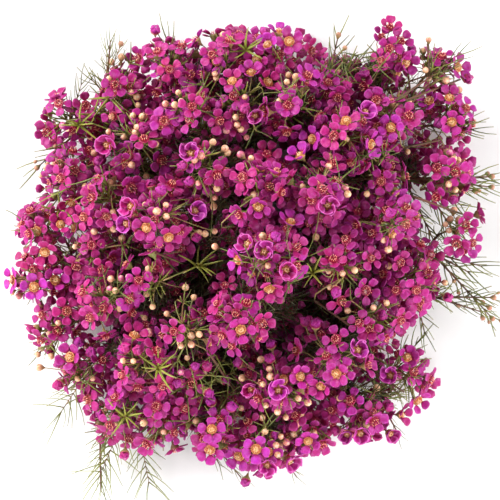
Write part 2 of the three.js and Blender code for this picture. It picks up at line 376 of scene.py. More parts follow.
def coneShape(finish, length, foot, tip, sides, cuts, bend=0):
    # a slender cone along Z, with a radius at each end, whose tip bends over towards +X
    bm = startShape()
    bmesh.ops.create_cone(bm, cap_ends=True, cap_tris=False, segments=sides, radius1=foot, radius2=tip,
                          depth=length, matrix=Matrix.Translation((0, 0, length / 2)))
    if cuts:
        long = [e for e in bm.edges if abs(e.verts[0].co.z - e.verts[1].co.z) > length / 2]
        bmesh.ops.subdivide_edges(bm, edges=long, cuts=cuts)
    layer = bm.verts.layers.float_color["shape"]
    for v in bm.verts:
        v[layer] = (0, v.co.z / length, 0, 1)
        v.co.x += bend * (v.co.z / length) ** 2
    return keepShape(bm, finish)


budSizes = {
    "radius": 1.9 * mm, "height": 3.7 * mm, "groove": 0.16, "tube": 1.7 * mm, "tubeFoot": 0.4 * mm, "tubeSides": 7,
}


def budShape(sides, rings):
    # a globe of five folded petals that sits in the mouth of a short tube
    globe = startShape()
    bmesh.ops.create_uvsphere(globe, u_segments=sides, v_segments=rings, radius=1)
    layer = globe.verts.layers.float_color["shape"]
    wide, deep = budSizes["radius"], budSizes["tube"]
    for v in globe.verts:
        height = v.co.z
        up = max(0.0, height)
        seam = 0.5 + 0.5 * math.cos(5 * math.atan2(v.co.y, v.co.x))
        # the first number marks the grooves, which the bud finish paints darker as painted shade
        v[layer] = (seam * 4 * up * (1 - up), (height + 1) / 2, 0, 1)
        swell = wide * (1 - budSizes["groove"] * seam * up)
        v.co = (v.co.x * swell, v.co.y * swell, deep + (height + 0.75) / 2 * budSizes["height"])
    bm = startShape()
    addShape(bm, keepShape(globe, "bud"))
    addShape(bm, turnedShape("stalk", budSizes["tubeSides"], [
        (0, 0, 0), (budSizes["tubeFoot"], 0, 0), (wide * 0.5, deep * 0.6, 0.3), (wide * 0.92, deep * 1.25, 0.8),
        (wide * 0.8, deep * 1.6, 1), (0, deep * 1.4, 1),
    ]))
    return keepMesh(bm, "bud")


tube = {"height": 4.0 * mm, "foot": 0.5 * mm, "rim": 2.75 * mm, "sides": 8, "fewSides": 5}
flower = {
    "petals": 5, "petalRing": 2.4 * mm,  # how far out the petals stand
    "sizes": (0.88, 1.07), "widths": (0.94, 1.04), "jitter": 12.0,  # degrees
    "stamens": 10, "fewStamens": 4, "stamenRing": 1.95 * mm,
    "stamen": (2.1 * mm, 0.3 * mm, 0.24 * mm), "stamenBend": 0.6 * mm,  # length, and the radius at each end
    "styleRadii": (0.2 * mm, 0.13 * mm), "styleBend": 0.3 * mm,
}


def flowerShape(opening, curl=0.35, petalScale=1.0, broad=1.0, style=2.4 * mm, stamenLean=12, cuts=0, segments=3,
                dish=0.7 * mm, overlap=0, square=0):
    # one whole flower on Z: tube, cup, petals, stamens and style. `opening` is 0 upright and 90 flat
    bm = startShape()
    few = segments < 3
    sides = tube["fewSides"] if few else tube["sides"]
    wall, top = tube["rim"], tube["height"]
    calyx = [(0, 0, 0), (tube["foot"], 0, 0), (tube["foot"] * 1.5, top * 0.3, 0.3), (wall * 0.82, top * 0.75, 0.7),
             (wall, top, 0)]
    cup = [(wall, top, 0), (wall * 0.88, top + 0.35 * mm, 0), (wall * 0.72, top - 0.1 * mm, 0.35),
           (wall * 0.2, top - 0.35 * mm, 1), (0, top - 0.25 * mm, 1)]
    if few:
        del calyx[2], cup[3]
    addShape(bm, turnedShape("stalk", sides, calyx))
    addShape(bm, turnedShape("cup", sides, cup))
    bmesh.ops.remove_doubles(bm, verts=bm.verts, dist=0.01 * mm)
    bmesh.ops.recalc_face_normals(bm, faces=bm.faces)
    jitter = lambda: anyAngle(-flower["jitter"], flower["jitter"])
    for k in range(flower["petals"]):
        blade = petalShape(curl, segments, dish, square)
        size = petalScale * between(*flower["sizes"])
        place = Matrix.Rotation(k * 2 * math.pi / flower["petals"] + jitter(), 4, "Z")
        place @= Matrix.Translation((0, flower["petalRing"], top - 0.1 * mm))
        place @= Matrix.Rotation(math.radians(90 - opening) + jitter(), 4, "X")
        place @= Matrix.Rotation(jitter() + math.radians(overlap), 4, "Y")
        place @= Matrix.Diagonal((size * broad * between(*flower["widths"]), size, size, 1))
        addShape(bm, blade, place)
    count = flower["fewStamens" if few else "stamens"]
    for k in range(count):
        place = Matrix.Rotation((k + 0.5) * 2 * math.pi / count, 4, "Z")
        place @= Matrix.Translation((-flower["stamenRing"], 0, top + 0.1 * mm))
        place @= Matrix.Rotation(math.radians(stamenLean) + jitter(), 4, "Y")
        addShape(bm, coneShape("stamen", *flower["stamen"], 3, cuts, flower["stamenBend"]), place)
    if not few:
        addShape(bm, coneShape("stamen", style, *flower["styleRadii"], 3, cuts, flower["styleBend"]),
                 Matrix.Translation((0, 0, top - 0.4 * mm)))
    return keepMesh(bm, "flower")


# kind: how far open each flower of it is, in degrees, and what else differs from the usual flower
flowerKinds = {
    "young": ((56, 68, 78), {"stamenLean": 20, "cuts": 1}),
    "old": ((62, 74, 84, 94, 102), {"curl": 0.15, "style": 3.6 * mm, "stamenLean": -4}),
    "half": ((30, 36, 42), {"curl": 0.3, "petalScale": 0.92, "broad": 1.4, "style": 1.8 * mm, "stamenLean": 24,
                            "dish": 1.7 * mm, "overlap": 7, "square": 0.5}),
    "ball": ((12,), {"curl": 1.75, "petalScale": 0.82, "style": 1.0 * mm, "stamenLean": 30}),
    "plain": ((70, 84), {"curl": 0.3, "segments": 2}),
}


def bloomKinds(segments):
    return {kind: [flowerShape(opening, **{"segments": segments, **differs}) for opening in openings]
            for kind, (openings, differs) in flowerKinds.items()}


def needleKinds(foot, tip, *bends):
    # needles a unit long, one for each (cuts, bend)
    return [coneShape("needle", 1, foot, tip, 3, cuts, bend) for cuts, bend in bends]


topKinds, crowdKinds = bloomKinds(4), bloomKinds(3)
capsule = turnedShape("bud", 8, [
    (0, 0, 0), (0.5 * mm, 0, 0), (1.3 * mm, 1.2 * mm, 0.3), (1.7 * mm, 2.6 * mm, 0.5), (1.35 * mm, 3.2 * mm, 0.6),
    (1.6 * mm, 3.9 * mm, 0.9), (1.2 * mm, 3.3 * mm, 0.6), (0, 3.0 * mm, 0.6),
])
needleShapes = needleKinds(0.039, 0.021, (2, 0.04), (2, 0.12), (2, 0.22))
fineShapes = needleKinds(0.023, 0.011, (2, 0.1), (2, 0.22), (2, 0.34))
sprigShapes = needleKinds(0.031, 0.016, (2, 0.06), (2, 0.16), (2, 0.28))
innerShapes = needleKinds(0.046, 0, (0, 0.08), (1, 0.2))
leafShapes = needleKinds(0.07, 0.025, (3, 0.06), (3, 0.16), (3, 0.26))
bud, lowBud = budShape(15, 7), budShape(10, 5)
# straight rods that are bent where they grow; the thin ones hide deep in the flowers
rodShape, thinRod = (coneShape("stalk", 1, 1, 1, sides, cuts) for sides, cuts in ((4, 3), (3, 2)))
twigShape, thinTwig = (coneShape("bark", 1, 1, 1, sides, cuts) for sides, cuts in ((5, 3), (3, 2)))
print("shapes ready:", {kind: len(shapes[0].polygons) for kind, shapes in topKinds.items()})


def leaningFrom(axis, angle, turn):
    # the direction that leans `angle` away from `axis`, towards the side that `turn` picks
    side = axis.orthogonal().normalized()
    side.rotate(Matrix.Rotation(turn, 3, axis))
    return (axis * math.cos(angle) + side * math.sin(angle)).normalized()


def nudged(axis, least, most, turn=2 * math.pi):
    # `axis` leant by a random angle, in degrees, to a random side
    return leaningFrom(axis, anyAngle(least, most), between(0, turn))


def standOn(foot, direction, turn, scale):
    # places a shape that was made along Z
    spin = direction.to_track_quat("Z", "X").to_matrix().to_4x4()
    return Matrix.Translation(foot) @ spin @ Matrix.Rotation(turn, 4, "Z") @ Matrix.Scale(scale, 4)


def standBending(foot, direction, towards, length):
    # places a needle so that its tip bends over towards `towards`
    z = direction.normalized()
    x = (towards - z * towards.dot(z)).normalized()
    turned = Matrix((x, z.cross(x), z)).transposed().to_4x4()
    return Matrix.Translation(foot) @ turned @ Matrix.Scale(length, 4)


def onCurve(curve, t):
    # the point and the heading at `t` of a cubic of four points
    a, b, c, d = curve
    s = 1 - t
    point = a * s ** 3 + b * (3 * s * s * t) + c * (3 * s * t * t) + d * t ** 3
    return point, ((b - a) * (s * s) + (c - b) * (2 * s * t) + (d - c) * (t * t)).normalized()


def growRod(grown, curve, radii, shade, shape=rodShape):
    # a rod that follows a curve, with a radius at each end
    first = (curve[1] - curve[0]).orthogonal()

    def bent(co):
        point, heading = onCurve(curve, co.z)
        side = (first - heading * first.dot(heading)).normalized()
        radius = radii[0] + (radii[1] - radii[0]) * co.z
        return point + side * (co.x * radius) + heading.cross(side) * (co.y * radius)

    grown.append((shape, bent, tintOf(0, 0, shade)))


def bowed(root, tip, rise=Vector()):
    return root, root.lerp(tip, 0.33) + rise, root.lerp(tip, 0.66) + rise, tip


def tintOf(hue, age, shade):
    return (*(min(1, max(0, n)) for n in (hue, age, shade)), 1)


edges = {"rest": 0.15 * mm, "bendBelow": 3 * mm, "beyond": 3.2 * mm, "above": 2.4 * mm, "bendBeyond": 6 * mm}


def tuckIn(bm):
    # whatever hangs lower than the table, or reaches too far out, is bent back
    walls = [(2, -1, -edges["rest"], edges["bendBelow"] - edges["rest"])]
    for axis, sign in product((0, 1), (1, -1)):
        walls.append((axis, sign, cadBox[1][axis] + edges["beyond"], edges["bendBeyond"]))
    walls.append((2, 1, cadBox[1][2] + edges["above"], edges["bendBeyond"]))
    for axis, sign, most, band in walls:
        farthest = max(v.co[axis] * sign for v in bm.verts)
        start = most - band
        if farthest > most:
            for v in bm.verts:
                reach = v.co[axis] * sign
                if reach > start:
                    v.co[axis] = sign * (start + (reach - start) * band / (farthest - start))


def putObject(name, data):
    thing = bpy.data.objects.new(name, data)
    scene.collection.objects.link(thing)
    return thing


batch = 50  # shapes joined at a time, because a large mesh takes each new one slowly


def gather(name, grown, replaced=()):
    # joins everything in `grown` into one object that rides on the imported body
    whole = startShape()
    for first in range(0, len(grown), batch):
        bm = startShape()
        layer = bm.verts.layers.float_color["tint"]
        for shape, place, tint in grown[first:first + batch]:
            before = len(bm.verts)
            bm.from_mesh(shape)
            bm.verts.ensure_lookup_table()
            added = bm.verts[before:]
            if isinstance(place, Matrix):
                bmesh.ops.transform(bm, matrix=place, verts=added)
            for v in added:
                v[layer] = tint
                if not isinstance(place, Matrix):
                    v.co = place(v.co)
        addShape(whole, keepMesh(bm, "part"))
    tuckIn(whole)
    mesh = keepMesh(whole, name)
    for finish in finishOrder:
        mesh.materials.append(finishes[finish])
    piece = putObject(name, mesh)
    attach(piece, "root")
    if replaced:
        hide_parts(*replaced)
    return piece


packed = {"weld": 0.005 * mm, "flat": 0.5, "evenEnd": 0.03 * mm, "widestEnd": 1.2 * mm}  # flat is in degrees


def mergedCopy(node):
    bm = bmesh.new()
    bm.from_mesh(bpy.data.objects[node].data)
    bmesh.ops.remove_doubles(bm, verts=bm.verts, dist=packed["weld"])
    bmesh.ops.dissolve_limit(bm, angle_limit=math.radians(packed["flat"]), verts=bm.verts, edges=bm.edges)
    return bm


def endFaces(bm, sides):
    # the centre and the outward normal of a rod's regular flat ends, widest first
    ends = []
    for face in bm.faces:
        centre = face.calc_center_median()
        spans = [(v.co - centre).length for v in face.verts]
        wide = max(spans)
        if len(spans) == sides and wide - min(spans) < packed["evenEnd"] and wide < packed["widestEnd"]:
            ends.append((wide, centre.copy(), face.normal.copy()))
    return [end[1:] for end in sorted(ends, key=lambda end: -end[0])]


headPlan = {
    "stalkSides": 5, "stalkLength": 3.7 * mm, "funnelWidth": 7.2 * mm, "stalkRadius": 0.75 * mm, "inTwig": 0.8 * mm,
    "rimLift": 0.15,  # how high the flowers stand beyond the rim, as a share of the spread
}


def readHead(node):
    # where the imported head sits, which way it faces and how wide it spreads
    bm = mergedCopy(node)
    foot, normal = endFaces(bm, headPlan["stalkSides"])[0]
    axis = -normal
    knot = foot + axis * headPlan["stalkLength"]
    farthest = max((v.co - knot).length for v in bm.verts)
    bm.free()
    spread = math.sqrt(farthest ** 2 - headPlan["funnelWidth"] ** 2)
    return SimpleNamespace(node=node, foot=foot, axis=axis, knot=knot, spread=spread, subs=[], blooms=[], grown=[])


heads = [readHead(node) for node in headNodes]
print("heads read:", len(heads))

# the plan: where things are as seen from above, in steps of half a millimetre
plan = {"step": 0.5 * mm, "middle": (250, 250), "shift": (-2.54 * mm, 8.96 * mm)}


def onPlan(column, row):
    return ((column - plan["middle"][0]) * plan["step"] + plan["shift"][0],
            (plan["middle"][1] - row) * plan["step"] + plan["shift"][1])


# blooms that stand on top, by kind, as (column, row) on the plan
topBlooms = {
    "young": [
        (238, 260), (269, 288), (258, 208), (290, 222), (241, 328), (300, 157), (311, 140), (267, 45), (289, 42),
        (232, 82), (251, 73), (300, 375), (212, 428), (210, 449), (239, 456), (256, 448), (308, 441), (335, 372),
        (320, 385), (407, 357), (418, 401), (402, 415), (406, 62), (459, 66), (450, 97), (345, 122), (71, 203),
        (61, 224), (45, 252), (10, 280), (34, 287), (55, 280), (148, 228), (70, 357), (390, 128), (370, 145),
        (452, 122), (430, 100), (268, 83),
    ],
    "old": [
        (218, 303), (236, 312), (240, 215), (280, 193), (262, 322), (223, 333), (296, 247), (243, 178), (172, 186),
        (175, 330), (286, 132), (287, 107), (220, 122), (190, 75), (182, 45), (212, 55), (230, 42), (196, 40),
        (333, 137), (307, 77), (337, 98), (365, 85), (391, 26), (390, 48), (383, 36), (401, 40), (397, 57), (381, 60),
        (443, 55), (408, 117), (428, 142), (58, 103), (46, 131), (85, 105), (115, 85), (157, 92), (145, 140),
        (30, 233), (24, 257), (33, 269), (41, 315), (62, 178), (94, 198), (132, 188), (108, 217), (85, 217), (93, 245),
        (84, 292), (92, 317), (140, 280), (128, 265), (102, 360), (115, 397), (163, 385), (157, 405), (147, 443),
        (296, 350), (335, 338), (232, 344), (248, 422), (332, 410), (185, 408), (175, 432), (373, 420), (366, 365),
        (350, 400), (380, 182), (355, 225), (370, 258), (420, 245), (427, 273), (345, 240), (376, 101), (467, 107),
        (395, 290), (358, 322), (332, 260), (138, 58), (157, 52), (312, 50), (400, 262), (400, 320), (466, 225),
        (473, 243), (456, 243), (480, 214), (463, 250), (455, 172), (437, 168), (88, 150), (75, 170), (88, 400),
        (128, 440), (110, 425), (170, 70), (340, 300), (365, 290), (320, 190), (126, 163), (162, 160), (165, 122),
        (113, 116), (94, 127), (73, 130), (124, 374), (106, 335), (67, 311), (57, 331), (77, 266), (331, 165),
        (350, 163), (415, 290), (383, 274),
    ],
    "half": [
        (133, 207), (128, 224), (255, 117), (364, 113), (326, 206), (278, 388), (285, 269), (356, 349), (108, 145),
        (192, 155), (264, 252), (248, 244), (390, 375), (267, 464), (251, 388), (360, 432), (390, 434), (195, 211),
        (347, 434), (289, 461),
    ],
    "ball": [
        (279, 247), (196, 237), (318, 120), (280, 70), (245, 110), (97, 162), (143, 128), (163, 192), (59, 384),
        (91, 353), (271, 345), (270, 358), (195, 366), (207, 366), (212, 402), (224, 380), (231, 407), (240, 363),
        (413, 50), (367, 357), (388, 407), (453, 199), (447, 297), (365, 72), (347, 85), (468, 77), (155, 30),
        (124, 455), (128, 347), (335, 290), (305, 322), (315, 325), (246, 481), (77, 342),
    ],
    "bud": [
        (201, 234), (207, 234), (217, 232), (214, 246), (215, 200), (214, 208), (218, 190), (187, 287), (195, 295),
        (328, 287), (334, 288), (315, 236), (311, 260), (262, 236), (267, 266), (235, 119), (237, 126), (241, 131),
        (226, 132), (214, 142), (226, 149), (229, 153), (247, 140), (240, 155), (251, 158), (202, 157), (195, 161),
        (288, 74), (286, 82), (328, 158), (328, 167), (215, 75), (216, 80), (447, 80), (461, 87), (450, 152),
        (455, 158), (409, 153), (165, 104), (143, 116), (133, 115), (139, 105), (111, 117), (91, 110), (107, 131),
        (91, 139), (94, 152), (138, 127), (157, 145), (132, 166), (155, 168), (45, 166), (68, 130), (62, 125),
        (95, 231), (115, 230), (123, 238), (168, 205), (158, 212), (168, 217), (112, 278), (122, 277), (128, 276),
        (117, 290), (66, 311), (57, 323), (147, 319), (149, 330), (16, 297), (8, 293), (147, 178), (38, 175),
        (123, 360), (134, 360), (150, 332), (37, 368), (35, 357), (49, 358), (260, 358), (269, 367), (270, 375),
        (241, 377), (262, 383), (181, 346), (192, 344), (181, 371), (299, 397), (308, 402), (265, 405), (277, 411),
        (262, 417), (286, 419), (242, 407), (282, 436), (293, 434), (276, 445), (287, 442), (265, 430), (278, 455),
        (314, 433), (339, 397), (448, 185), (456, 191), (447, 283), (386, 302), (346, 310), (341, 273), (387, 266),
        (387, 250), (347, 195), (345, 188), (377, 387), (110, 60), (108, 77), (121, 55), (424, 48), (430, 36),
    ],
}
# leafy tips, (column, row, number of needles), and those that are bright stars
leafTufts = [
    (200, 265, 11), (311, 272, 6), (246, 50, 7), (128, 245, 9), (160, 367, 8), (126, 416, 8), (88, 383, 6),
    (390, 225, 6), (420, 214, 5), (108, 98, 5), (178, 360, 6), (215, 375, 7), (228, 395, 6), (60, 208, 6),
    (256, 132, 6), (430, 287, 7), (252, 262, 4), (290, 284, 5), (345, 62, 9), (330, 70, 7), (378, 68, 7),
    (385, 155, 6), (80, 125, 7), (94, 114, 6), (50, 345, 6), (340, 180, 5), (205, 85, 5), (375, 390, 6), (190, 420, 5),
    (225, 360, 6), (62, 262, 4), (283, 92, 4), (105, 275, 5), (355, 55, 7), (360, 160, 6), (370, 155, 6), (130, 60, 6),
    (120, 290, 5), (265, 425, 6), (205, 395, 6), (235, 372, 6), (185, 300, 4), (350, 300, 4),
]
brightTufts = [
    (200, 265), (108, 98), (311, 272), (126, 416), (246, 50), (160, 367), (80, 125), (94, 114), (60, 208),
]
# single needles that lie over the flowers: column and row of the root, then of the tip
longNeedles = [
    (210, 203, 176, 208), (213, 206, 212, 236), (222, 228, 236, 226), (209, 198, 198, 176), (190, 200, 171, 200),
    (97, 178, 66, 190), (68, 189, 35, 203), (115, 100, 130, 116), (84, 120, 120, 134), (205, 83, 183, 91),
    (216, 82, 206, 100), (228, 70, 239, 57), (262, 90, 266, 110), (284, 90, 300, 92), (285, 95, 272, 104),
    (258, 260, 247, 287), (290, 262, 287, 240), (315, 232, 307, 258), (308, 256, 330, 247), (178, 299, 206, 312),
    (206, 316, 188, 320), (192, 368, 200, 396), (210, 386, 222, 366), (216, 355, 238, 394), (240, 356, 252, 368),
    (340, 318, 372, 308), (110, 290, 124, 303), (60, 262, 76, 240), (130, 160, 112, 170), (380, 232, 402, 222),
    (262, 400, 268, 422), (325, 276, 311, 262),
]
# bare twigs that cross the hollows, written the same way
topTwigs = [
    (208, 350, 238, 396), (314, 300, 384, 350), (410, 196, 462, 214), (420, 190, 474, 176), (256, 285, 262, 300),
    (150, 250, 180, 262), (404, 148, 440, 140), (372, 372, 404, 392), (226, 398, 236, 420), (378, 112, 438, 72),
    (398, 104, 462, 78), (430, 78, 429, 42), (408, 64, 411, 92),
]
# hollows between the sprays, (column, row, half the width in steps): no bloom stands high in them
hollows = [
    (182, 280, 22), (205, 262, 16), (165, 298, 16), (196, 322, 8), (130, 252, 13), (283, 322, 22), (300, 302, 17),
    (332, 308, 15), (322, 248, 9), (338, 230, 8), (355, 180, 12), (375, 160, 10), (320, 165, 8), (258, 95, 11),
    (258, 130, 9), (235, 60, 6), (215, 95, 10), (310, 105, 13), (340, 70, 11), (378, 72, 9), (128, 105, 6),
    (125, 138, 5), (217, 155, 15), (222, 200, 10), (230, 236, 8), (242, 286, 8), (205, 370, 17), (232, 376, 15),
    (260, 370, 11), (200, 412, 10), (287, 350, 9), (345, 340, 8), (275, 422, 12), (370, 385, 16), (150, 365, 10),
    (398, 155, 12), (112, 285, 11), (420, 175, 8), (118, 345, 6), (118, 306, 11), (158, 338, 7), (148, 304, 14),
    (186, 348, 20), (178, 312, 23), (198, 300, 12), (264, 306, 18), (354, 316, 12), (312, 350, 13), (186, 146, 13),
    (232, 148, 10), (198, 170, 10), (306, 184, 10), (314, 272, 16), (352, 332, 9), (350, 350, 12), (352, 278, 12),
    (206, 66, 9), (182, 105, 9), (246, 92, 8),
]
# where the sprays stand apart and the table shows between them, written as the hollows are
openings = [
    (418, 78, 17), (405, 146, 8), (365, 42, 22), (442, 214, 17), (426, 186, 15), (368, 361, 7), (368, 386, 15),
    (400, 394, 12), (425, 330, 14), (395, 88, 10), (320, 408, 8), (282, 447, 8), (65, 118, 9), (385, 380, 8),
    (390, 362, 8), (402, 378, 9), (410, 392, 8), (410, 62, 6), (455, 262, 9), (190, 436, 10), (65, 250, 5),
    (425, 125, 8), (330, 45, 10), (205, 30, 5), (384, 153, 7), (412, 196, 9), (38, 262, 6), (50, 272, 5), (28, 246, 5),
    (60, 232, 5), (48, 300, 6), (72, 262, 4), (72, 112, 6), (88, 98, 5), (100, 90, 5), (30, 300, 6), (52, 340, 6),
    (74, 395, 6), (446, 262, 12), (466, 240, 24), (470, 205, 14), (432, 240, 8), (350, 372, 6), (440, 66, 6),
    (430, 160, 8), (422, 60, 12), (425, 168, 7), (460, 150, 6), (56, 118, 6), (40, 240, 5),
]


def onTop(x, y):
    # the top of the flowers over a point, the head that carries them, and whether it reaches there
    best = None
    for head in heads:
        away = math.hypot(x - head.knot.x, y - head.knot.y)
        if away < head.spread:
            top = head.knot.z + math.sqrt(head.spread ** 2 - away ** 2)
            if best is None or top > best[0]:
                best = (top, head, True)
    if best:
        return best
    head = min(heads, key=lambda h: math.hypot(x - h.knot.x, y - h.knot.y) - h.spread)
    return head.knot.z + headPlan["rimLift"] * head.spread, head, False


def underTop(spot, depth):
    # the point `depth` under the top of the flowers at a spot of the plan, and the head there
    x, y = onPlan(*spot)
    top, head, _ = onTop(x, y)
    return Vector((x, y, top - depth)), head


def isIn(spots, x, y):
    for column, row, half in spots:
        hx, hy = onPlan(column, row)
        if math.hypot(x - hx, y - hy) < half * plan["step"]:
            return True
    return False


def isBare(x, y, depth, hollowDepth):
    # nothing grows where the table shows, or high up in a hollow
    return isIn(openings, x, y) or depth < hollowDepth and isIn(hollows, x, y)


def inHollow(column, row, half):
    # a random spot inside a hollow
    turn, out = between(0, roughTurn), half * math.sqrt(dice.random()) * plan["step"]
    x, y = onPlan(column, row)
    return x + out * math.cos(turn), y + out * math.sin(turn)


bloomWidths = {
    "young": 7.6 * mm, "old": 7.6 * mm, "half": 5.8 * mm, "ball": 3.2 * mm, "bud": 2.4 * mm, "plain": 7.4 * mm,
}
spacing = {"share": 0.7, "axial": 3.2 * mm, "cell": 16 * mm, "low": 0.6 * mm, "beyond": 1.8 * mm, "clearTop": 1.5 * mm,
           "clearShare": 0.6, "headroom": 3 * mm}
limit = [most + spacing["beyond"] for most in cadBox[1]]
settled = {}


def cellOf(place):
    return tuple(math.floor(n / spacing["cell"]) for n in place)


def hasRoom(place, facing, kind):
    wide = bloomWidths[kind]
    reach = [wide * math.sqrt(max(0.0, 1 - n ** 2)) for n in facing]
    if place.z - reach[2] < spacing["low"] or (place - facing * tube["height"]).z < 2 * spacing["low"]:
        return False
    if any(abs(place[axis]) + reach[axis] > limit[axis] for axis in range(3)):
        return False
    cell = cellOf(place)
    for step in product((-1, 0, 1), repeat=3):
        for other in settled.get(tuple(a + b for a, b in zip(cell, step)), ()):
            gap = other.place - place
            mean = (facing + other.facing).normalized()
            axial = gap.dot(mean)
            lateral = (gap - mean * axial).length
            room = spacing["share"] * (wide + bloomWidths[other.kind])
            if (lateral / room) ** 2 + (axial / spacing["axial"]) ** 2 < 1:
                return False
            covered = math.hypot(gap.x, gap.y) < spacing["clearShare"] * wide + bloomWidths[other.kind]
            if other.onTop and gap.z < spacing["clearTop"] and covered:
                return False
    return True


def settle(kind, place, facing, head, onTop=False):
    # gives a bloom its place; one that isn't listed needs room there
    if not onTop and not hasRoom(place, facing, kind):
        return False
    bloom = SimpleNamespace(kind=kind, place=place, facing=facing, onTop=onTop)
    settled.setdefault(cellOf(place), []).append(bloom)
    head.blooms.append(bloom)
    return True


def countBlooms(when):
    print(when, sum(len(head.blooms) for head in heads))


# how far each kind sits under the top, how much deeper it may be, how far it leans in degrees, how much it turns up
topSizes = {
    "young": (0, 2 * mm, 18, 0.75), "old": (0, 6 * mm, 40, 0.5), "half": (0, 1 * mm, 9, 1.0),
    "ball": (2 * mm, 3 * mm, 30, 0.8), "bud": (2 * mm, 2 * mm, 20, 0.6),
}
for kind, spots in topBlooms.items():
    sink, deeper, lean, turnUp = topSizes[kind]
    for spot in spots:
        place, head = underTop(spot, sink)
        facing = nudged(((place - head.knot).normalized() + upward * turnUp).normalized(), 0, lean)
        low = bloomWidths[kind] * math.sqrt(1 - facing.z ** 2) + spacing["low"]
        place.z = min(max(place.z - between(0, deeper), low), cadBox[1][2] - spacing["headroom"])
        settle(kind, place, facing, head, True)
countBlooms("top blooms:")

crowd = {
    "perHead": 18, "widest": 84.0, "shells": (0.93, 0.75, 0.56), "turnUp": 0.2, "lean": 40.0, "hollowDepth": 19 * mm,
    "mix": ("old", "old", "old", "young", "old", "old", "old", "old", "ball"),
}


def crowdHead(head):
    # each flower takes the outermost shell that has room for it
    start = between(0, 2 * math.pi)
    cap = 1 - math.cos(math.radians(crowd["widest"]))
    for i in range(crowd["perHead"]):
        polar = math.acos(1 - cap * (i + 0.5) / crowd["perHead"])
        way = leaningFrom(head.axis, polar, start + i * goldenAngle)
        kind = dice.choice(crowd["mix"])
        for shell in crowd["shells"]:
            place = head.knot + way * head.spread * shell
            facing = nudged((way + upward * crowd["turnUp"]).normalized(), 0, crowd["lean"])
            depth = onTop(place.x, place.y)[0] - place.z
            if not isBare(place.x, place.y, depth, crowd["hollowDepth"]) and settle(kind, place, facing, head):
                break


for head in heads:
    crowdHead(head)
countBlooms("with the crowd:")

below = {
    "tries": 12000, "most": 800, "half": 118 * mm, "depth": (9 * mm, 60 * mm), "hollowDepth": 22 * mm,
    "outward": 0.5, "turnUp": 0.8, "lean": 35,
}
count = 0
for _ in range(below["tries"]):
    x, y = between(-below["half"], below["half"]), between(-below["half"], below["half"])
    top, head, over = onTop(x, y)
    depth = between(*below["depth"])
    if over and count < below["most"] and not isBare(x, y, depth, below["hollowDepth"]):
        place = Vector((x, y, top - depth))
        way = (place - head.foot).normalized()
        facing = nudged((way * below["outward"] + upward * below["turnUp"]).normalized(), 0, below["lean"])
        count += settle("plain", place, facing, head)

deepFlowers = {"tries": 70, "below": 34 * mm, "low": 8 * mm, "lean": 50}
for hollow in hollows:
    for _ in range(deepFlowers["tries"]):
        x, y = inHollow(*hollow)
        top, head, _ = onTop(x, y)
        low = deepFlowers["low"]
        place = Vector((x, y, between(low, max(top - deepFlowers["below"], 2 * low))))
        facing = nudged(upward, 0, deepFlowers["lean"], roughTurn)
        if not isIn(openings, x, y):
            settle("plain", place, facing, head)
countBlooms("with those below:")

extraBuds = {"tries": 6, "depth": (1 * mm, 9 * mm), "lean": (5, 80)}
for head in heads:
    for _ in range(extraBuds["tries"]):
        way = nudged(head.axis, *extraBuds["lean"])
        settle("bud", head.knot + way * (head.spread - between(*extraBuds["depth"])), way, head)

# points just inside the bark, for whatever starts on the wood
inBark = 0.4 * mm
woodSpots = []
for node in woodNodes:
    bm = mergedCopy(node)
    woodSpots += [(v.co - v.normal * inBark, node) for v in bm.verts]
    bm.free()
woodTree = KDTree(len(woodSpots))
for i, (spot, node) in enumerate(woodSpots):
    woodTree.insert(spot, i)
woodTree.balance()


def onWood(point):
    # the nearest spot of the wood, its node, and how far off it is
    spot, index, away = woodTree.find(point)
    return Vector(spot), woodSpots[index][1], away


twigs = {
    "sub": 5, "subReach": 0.42, "subLean": 40.0, "subRadius": (0.5 * mm, 0.4 * mm), "subBow": 0.12,
    "pedicel": (0.36 * mm, 0.3 * mm), "pedicelBow": 0.35, "setOff": 0.5, "inTube": 0.3 * mm,
    "bareDepth": 5 * mm, "bareNeedles": 5, "bareRadius": (0.7 * mm, 0.5 * mm),
}
needles = {
    "perSub": 4, "length": (8.5 * mm, 13 * mm), "lean": (18.0, 62.0), "low": 0.7 * mm,
    "tuftLength": (6.5 * mm, 12.5 * mm), "starLength": (8.5 * mm, 13.5 * mm), "tuftLean": (30.0, 84.0),
    "tuftDepth": (-1.5 * mm, 3 * mm), "tuftDeep": 3.5,
}


def growNeedle(grown, foot, direction, length, hue, shapes=needleShapes, towards=None, ageAndPaintedShade=0):
    # a needle that would reach into the table is turned up, and one that reaches too far out is cut short
    tip = foot + direction * length
    if tip.z < needles["low"]:
        rise = max(0.02, (needles["low"] - foot.z) / length + 0.03)
        direction = Vector((direction.x, direction.y, rise)).normalized()
        tip = foot + direction * length
    for axis in (0, 1, 2):
        over = abs(tip[axis]) - limit[axis]
        if over > 0:
            length *= max(0.3, 1 - over / length)
    towards = towards or leaningFrom(direction, math.pi / 2, between(0, roughTurn))
    stand = standBending(foot, direction, towards, length)
    grown.append((dice.choice(shapes), stand, tintOf(hue, ageAndPaintedShade, dice.random())))


# hues run from left to right over the whole; old flowers are the darkest, and each bloom is given painted shade the
# deeper it sits under the top of the flowers
tints = {
    "hue": 0.30, "across": 0.7, "vary": 0.52, "plainHue": 0.4, "deepest": 0.6, "deepShade": 18 * mm,
    # the low blooms ("plain") are given old, crimson ages as painted shade, since they sit under the others
    "age": {"young": (0.12, 0.24), "old": (0.5, 0.95), "half": (0.0, 0.05), "ball": (0.5, 0.8), "plain": (0.6, 1)},
    "size": (0.88, 1.06), "budSize": (0.78, 1.04), "paleBuds": 0.82, "paleHue": (0, 0.32), "pinkHue": (0.5, 1),
}


